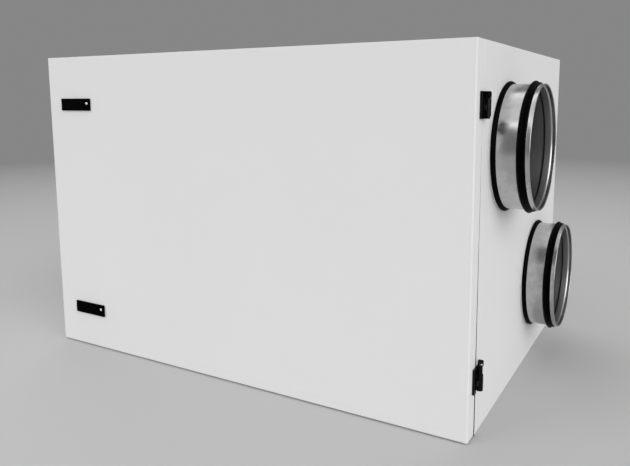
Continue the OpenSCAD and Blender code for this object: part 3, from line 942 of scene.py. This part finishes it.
def round_edge(low, high, count_x, count_z, y):
    """Points along the four sides of an upright rectangle at one depth."""
    xs = [low[0] + (high[0] - low[0]) * i / count_x for i in range(count_x + 1)]
    zs = [low[1] + (high[1] - low[1]) * i / count_z for i in range(1, count_z)]
    rows = [(x, y, z) for x in xs for z in (low[1], high[1])]
    columns = [(x, y, z) for z in zs for x in (low[0], high[0])]
    return rows + columns


door_low, door_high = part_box("door")
inset = PAN_INSET * MM
pan_low = Vector((door_low[0] + inset, door_high[1] - PAN_LAP, door_low[2] + inset))
pan_high = Vector((door_high[0] - inset, door_high[1] + PAN_T * MM, door_high[2] - inset))
pan = rounded("door_inner_pan", box_shape(pan_low, pan_high), INNER_SHEET, PAN_EDGE)
hand_over(pan, "door", "galvanised")
rivet_spots = round_edge((pan_low.x + RIVET_INSET, pan_low.z + RIVET_INSET),
                         (pan_high.x - RIVET_INSET, pan_high.z - RIVET_INSET),
                         RIVETS_ACROSS, RIVETS_UP, pan_high.y - RIVET_SINK)
rivets = heads("door_pan_rivets", rivet_spots, FACE_BACK, RIVET_R, RIVET_H, INNER_SHEET)
hand_over(rivets, "door", "galvanised")

# %% [markdown]
# The exchanger is a wheel wound from corrugated foil. The winding shows as fine rings, which
# is a wave pattern round the wheel's own axis, used for the tone and for the bump.

# %% Wound foil
FOIL_TONE, FOIL_ROUGH = (0.34, 0.62), (0.35, 0.5)
FOIL_RINGS, FOIL_WOBBLE = 78.0, 0.6


def wound_foil(middle):
    material, tree, shader, place = start_material("wound_foil", Metallic=1.0)
    centred = add_node(tree, "ShaderNodeMapping")
    centred.inputs["Location"].default_value = [-v for v in middle]
    tree.links.new(place, centred.inputs["Vector"])
    wave = add_node(tree, "ShaderNodeTexWave", Scale=FOIL_RINGS, Distortion=FOIL_WOBBLE)
    wave.wave_type = "RINGS"
    wave.rings_direction = "X"
    tree.links.new(centred.outputs["Vector"], wave.inputs["Vector"])
    tone = map_range(tree, wave.outputs["Fac"], 0.0, 1.0, *FOIL_TONE)
    tree.links.new(tone, shader.inputs["Base Color"])
    drive(tree, shader, "Roughness", noise(tree, place, scale=120.0), *FOIL_ROUGH)
    bump(tree, shader, wave.outputs["Fac"], strength=0.6, distance=0.001)
    return material


# %% [markdown]
# Flat spokes hold the winding together, and the fans' motors have fins. Both are bars that
# repeat round a circle, which Geometry Nodes do in one tree.

# %% Bars round an axis
def bars_tree():
    tree, sockets, given = start_tree("bars_round_axis", (
        ("Count", "Int"), ("Radius", "Float"), ("Bar", "Vector"), ("Material", "Material")))
    circle = tree.nodes.new("GeometryNodeMeshCircle")
    bar = tree.nodes.new("GeometryNodeMeshCube")
    place = tree.nodes.new("GeometryNodeInputPosition")
    face_out = tree.nodes.new("FunctionNodeAlignRotationToVector")
    face_out.axis = "X"
    set_on = tree.nodes.new("GeometryNodeInstanceOnPoints")
    chain(tree, (given, "Count"), (circle, "Vertices"), (given, "Radius"), (circle, "Radius"),
          (given, "Bar"), (bar, "Size"), (place, "Position"), (face_out, "Vector"),
          (circle, "Mesh"), (set_on, "Points"), (bar, "Mesh"), (set_on, "Instance"),
          (face_out, "Rotation"), (set_on, "Rotation"))
    end_tree(tree, given, set_on, "Instances")
    return tree, sockets


BARS = bars_tree()


def bars_round(name, count, radius, bar, material, place):
    piece = grown(name, BARS, {"Count": count, "Radius": radius * MM,
                               "Bar": [v * MM for v in bar], "Material": material})
    piece.data.transform(place)
    return piece


print("tree", BARS[0].name)

# %% [markdown]
# The rotor's solid is right as it is and only gets the foil. Its sheet frame gets rounded
# edges, and each face of the wheel a star of spokes.

# %% Exchanger wheel
THIN_EDGE = 0.001
ROTOR_FACE = 109.0
SPOKES, SPOKE_MIDDLE_R, SPOKE_BAR, SPOKE_OUT = 8, 197.0, (338.0, 14.0, 1.6), 0.8
SIDES = ((1, "right"), (-1, "left"))
wheel_low, wheel_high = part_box("wheel_rotor")
wheel_middle = (Vector(wheel_low) + Vector(wheel_high)) / 2
nodes["wheel_rotor"].material_slots[0].material = wound_foil(wheel_middle)
wheel_casing = rounded("wheel_casing", merged_copy("wheel_frame"), INNER_SHEET, THIN_EDGE, FEW_STEPS)
hand_over(wheel_casing, "casing", "galvanised", "wheel_frame")
for side, word in SIDES:
    face = wheel_middle + Vector((side * (ROTOR_FACE + SPOKE_OUT) * MM, 0.0, 0.0))
    spokes = bars_round(f"wheel_spokes_{word}", SPOKES, SPOKE_MIDDLE_R, SPOKE_BAR, INNER_SHEET,
                        Matrix.Translation(face) @ Matrix.Rotation(math.pi / 2, 4, "Y"))
    hand_over(spokes, "casing", "galvanised")

# %% [markdown]
# A filter is a sheet of paper folded into deep pleats. They follow one rule, so a tree walks a
# zigzag of points across the frame and sweeps a thin upright section along it.

# %% Pleats
PAPER_TONE, PAPER_ROUGH = (0.60, 0.70), (0.75, 0.9)


def pleat_paper():
    material, tree, shader, place = start_material("pleat_paper")
    drive(tree, shader, "Base Color", noise(tree, place, scale=220.0, detail=4.0), *PAPER_TONE)
    drive(tree, shader, "Roughness", noise(tree, place, scale=90.0), *PAPER_ROUGH)
    bump(tree, shader, noise(tree, place, scale=900.0, detail=4.0), strength=0.4, distance=0.0002)
    return material


def pleat_tree():
    tree, sockets, given = start_tree("pleated_sheet", (
        ("Width", "Float"), ("Depth", "Float"), ("Pitch", "Float"), ("Sheet", "Float"),
        ("Height", "Float"), ("Material", "Material")))
    count = math_node(tree, "DIVIDE", given.outputs["Width"], given.outputs["Pitch"])
    step = tree.nodes.new("ShaderNodeCombineXYZ")
    walk = tree.nodes.new("GeometryNodeMeshLine")
    index = tree.nodes.new("GeometryNodeInputIndex")
    swing = math_node(tree, "SUBTRACT", math_node(tree, "MODULO", index.outputs[0], 2), 0.5)
    shift = tree.nodes.new("ShaderNodeCombineXYZ")
    fold = tree.nodes.new("GeometryNodeSetPosition")
    path = tree.nodes.new("GeometryNodeMeshToCurve")
    upright = tree.nodes.new("GeometryNodeSetCurveNormal")
    upright.mode = "Z_UP"
    section = tree.nodes.new("GeometryNodeCurvePrimitiveQuadrilateral")
    sweep = tree.nodes.new("GeometryNodeCurveToMesh")
    sweep.inputs["Fill Caps"].default_value = True
    tree.links.new(count, walk.inputs["Count"])
    tree.links.new(math_node(tree, "MULTIPLY", swing, given.outputs["Depth"]), shift.inputs["X"])
    tree.links.new(math_node(tree, "MULTIPLY", given.outputs["Width"], -0.5), shift.inputs["Y"])
    chain(tree, (given, "Pitch"), (step, "Y"), (step, "Vector"), (walk, "Offset"),
          (walk, "Mesh"), (fold, "Geometry"), (shift, "Vector"), (fold, "Offset"),
          (fold, "Geometry"), (path, "Mesh"), (path, "Curve"), (upright, "Curve"),
          (given, "Sheet"), (section, "Width"), (given, "Height"), (section, "Height"),
          (upright, "Curve"), (sweep, "Curve"), (section, "Curve"), (sweep, "Profile Curve"))
    end_tree(tree, given, sweep, "Mesh")
    return tree, sockets


PAPER = pleat_paper()
PLEATS = pleat_tree()
print("material", PAPER.name, "and tree", PLEATS[0].name)

# %% [markdown]
# The pleats stand in a stiff sheet frame that is open from face to face. It is built from an
# outer and an inner ring of corners on each face.

# %% Filters
FILTER_FRAME = 22.0
PLEAT_PITCH = 7.0
PLEAT_SHEET = 0.8
SET_BACK = 6.0


def frame_shape(low, high, border):
    """A frame that is open along X, between two corners."""
    shape = bmesh.new()
    faces = []
    for x in (low[0], high[0]):
        rings = []
        for inset in (0.0, border):
            a, b, c, d = low[1] + inset, high[1] - inset, low[2] + inset, high[2] - inset
            rings.append([shape.verts.new((x, y, z)) for y, z in ((a, c), (b, c), (b, d), (a, d))])
        faces.append(rings)
    (outer_a, inner_a), (outer_b, inner_b) = faces
    for i in range(4):
        j = (i + 1) % 4
        for one, two in ((outer_a, inner_a), (outer_b, inner_b),
                         (outer_a, outer_b), (inner_a, inner_b)):
            shape.faces.new((one[i], one[j], two[j], two[i]))
    bmesh.ops.recalc_face_normals(shape, faces=shape.faces)
    return shape


for level in LEVELS:
    low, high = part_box(f"{level}_filter")
    border = frame_shape(low, high, FILTER_FRAME * MM)
    cassette = rounded(f"{level}_filter_frame", border, INNER_SHEET, THIN_EDGE, FEW_STEPS)
    hand_over(cassette, "casing", "filter_media", f"{level}_filter")
    pleats = grown(f"{level}_filter_pleats", PLEATS, {
        "Width": high[1] - low[1] - 2 * FILTER_FRAME * MM,
        "Depth": high[0] - low[0] - 2 * SET_BACK * MM,
        "Height": high[2] - low[2] - 2 * FILTER_FRAME * MM,
        "Pitch": PLEAT_PITCH * MM, "Sheet": PLEAT_SHEET * MM, "Material": PAPER})
    pleats.data.transform(Matrix.Translation((Vector(low) + Vector(high)) / 2))
    hand_over(pleats, "casing", "filter_media")

# %% [markdown]
# Each fan has a sheet wall with a flared inlet, a moulded wheel with curved blades, and a
# motor on a bracket. The wheel and the wall keep their solids with softened edges. The inlet
# is one more turned profile, and the motor gets cooling fins, which are bars round an axis.

# %% Fans
FAN_SIDES = (("upper", -1), ("lower", 1))
EYE_R = 78.4
FLARE_INNER, FLARE_OUTER, FLARE_FROM, FLARE_TO, FLARE_STEPS = 14.0, 12.6, 180, 262, 10
INLET_CORNER, INLET_STEPS = 0.0003, 96
PLATE_EDGE, BLADE_EDGE, MOTOR_EDGE = 0.0006, 0.0007, 0.0015
MOTOR_R = 58.0
FIN_COUNT, FIN_OUT, FIN_BAR = 30, 2.0, (6.0, 1.8, 62.0)


def inlet_profile():
    middle = (EYE_R + FLARE_INNER, 0.0)
    inside = arc(middle, FLARE_INNER, FLARE_FROM, FLARE_TO, FLARE_STEPS)
    outside = arc(middle, FLARE_OUTER, FLARE_TO, FLARE_FROM, FLARE_STEPS)
    return inside + outside


for level, side in FAN_SIDES:
    low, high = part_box(f"{level}_fan_wall")
    inner_x = low[0] if side > 0 else high[0]
    axis = Vector((inner_x, (low[1] + high[1]) / 2, (low[2] + high[2]) / 2))
    turn = Matrix.Rotation(side * math.pi / 2, 4, "Y")
    wall = rounded(f"{level}_fan_plate", merged_copy(f"{level}_fan_wall"), INNER_SHEET,
                   PLATE_EDGE, FEW_STEPS)
    hand_over(wall, "casing", "galvanised", f"{level}_fan_wall")
    inlet = turned(f"{level}_fan_inlet", in_metres(inlet_profile()), INLET_CORNER, INNER_SHEET,
                   Matrix.Translation(axis) @ turn, INLET_STEPS)
    hand_over(inlet, "casing", "galvanised")
    blades = rounded(f"{level}_fan_wheel", merged_copy(f"{level}_fan_impeller"), FAN_GREY,
                     BLADE_EDGE, FEW_STEPS)
    hand_over(blades, "casing", "fan_grey", f"{level}_fan_impeller")
    motor = rounded(f"{level}_motor_body", merged_copy(f"{level}_fan_motor"), MOTOR_BLACK, MOTOR_EDGE)
    hand_over(motor, "casing", "motor_black", f"{level}_fan_motor")
    low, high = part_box(f"{level}_fan_motor")
    centre = Vector(((low[0] + high[0]) / 2, axis.y, high[2] - MOTOR_R * MM))
    fins = bars_round(f"{level}_motor_fins", FIN_COUNT, MOTOR_R + FIN_OUT, FIN_BAR, MOTOR_BLACK,
                      Matrix.Translation(centre) @ turn)
    hand_over(fins, "casing", "motor_black")

# %% [markdown]
# The decks part the two air paths. They are plain trays, so rounded edges are enough.

# %% Decks
for end in ("right", "left"):
    deck = rounded(f"{end}_deck_tray", merged_copy(f"{end}_deck"), INNER_SHEET, THIN_EDGE, FEW_STEPS)
    hand_over(deck, "casing", "galvanised", f"{end}_deck")

# %% [markdown]
# Screws hold the exchanger's frame and the fan walls, with heads all round the edge of each,
# from the tree that made the rivets.

# %% Screws
SCREW_SINK = 0.0002
FRAME_SCREW_R, FRAME_SCREW_H = 4.5, 2.2
FRAME_INSET_X, FRAME_INSET_Z = 0.015, 0.02
FRAME_ACROSS, FRAME_UP = 2, 6
FAN_SCREW_R, FAN_SCREW_H = 4.0, 2.0
FAN_INSET = 0.012
FAN_ACROSS, FAN_UP = 7, 4

low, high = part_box("wheel_frame")
spots = round_edge((low[0] + FRAME_INSET_X, low[2] + FRAME_INSET_Z),
                   (high[0] - FRAME_INSET_X, high[2] - FRAME_INSET_Z),
                   FRAME_ACROSS, FRAME_UP, low[1] + SCREW_SINK)
frame_screws = heads("wheel_frame_screws", spots, FACE_FRONT, FRAME_SCREW_R, FRAME_SCREW_H, KEY_STEEL)
hand_over(frame_screws, "casing", "galvanised")
for level, side in FAN_SIDES:
    low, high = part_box(f"{level}_fan_wall")
    inner_x = low[0] if side > 0 else high[0]
    ring = round_edge((low[1] + FAN_INSET, low[2] + FAN_INSET),
                      (high[1] - FAN_INSET, high[2] - FAN_INSET), FAN_ACROSS, FAN_UP, 0.0)
    spots = [(inner_x + side * SCREW_SINK, across, up) for across, depth, up in ring]
    screws = heads(f"{level}_fan_screws", spots, (0.0, -side * math.pi / 2, 0.0),
                   FAN_SCREW_R, FAN_SCREW_H, KEY_STEEL)
    hand_over(screws, "casing", "galvanised")
